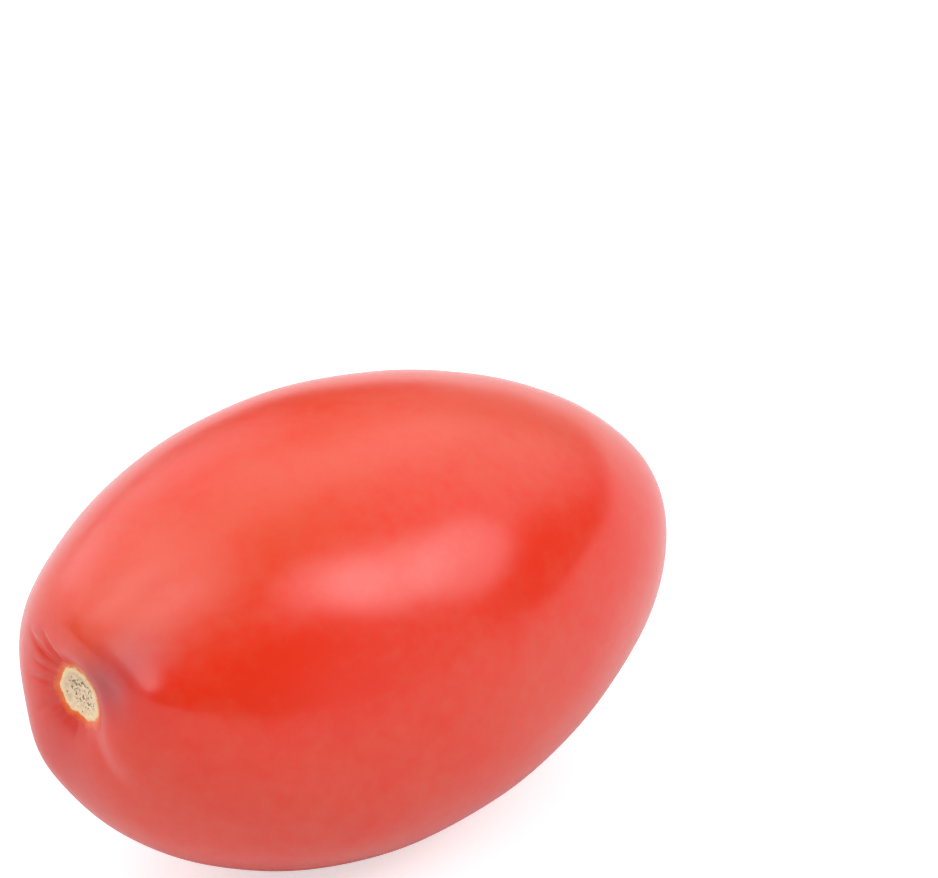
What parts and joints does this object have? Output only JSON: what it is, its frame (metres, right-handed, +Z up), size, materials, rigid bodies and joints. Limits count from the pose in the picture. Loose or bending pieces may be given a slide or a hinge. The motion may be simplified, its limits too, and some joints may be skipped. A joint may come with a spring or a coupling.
{
  "type": "plum tomato",
  "caption": "Plum tomato lying on its side: an egg-shaped, glossy red fruit with a sunken, creased stem end and a dry, corky stem scar.",
  "frame": {"origin": "on the surface that the fruit rests on, under the middle of its bounding box", "axes": "+X along the fruit from its stem end to its blossom end, +Z up"},
  "size_m": [0.0772, 0.05, 0.0496],
  "materials": {
    "skin": "smooth waxy tomato skin, glossy, with a dry matt corky scar at the stem end"
  },
  "bodies": {
    "root": {"tomato": "skin"}
  },
  "joints": []
}
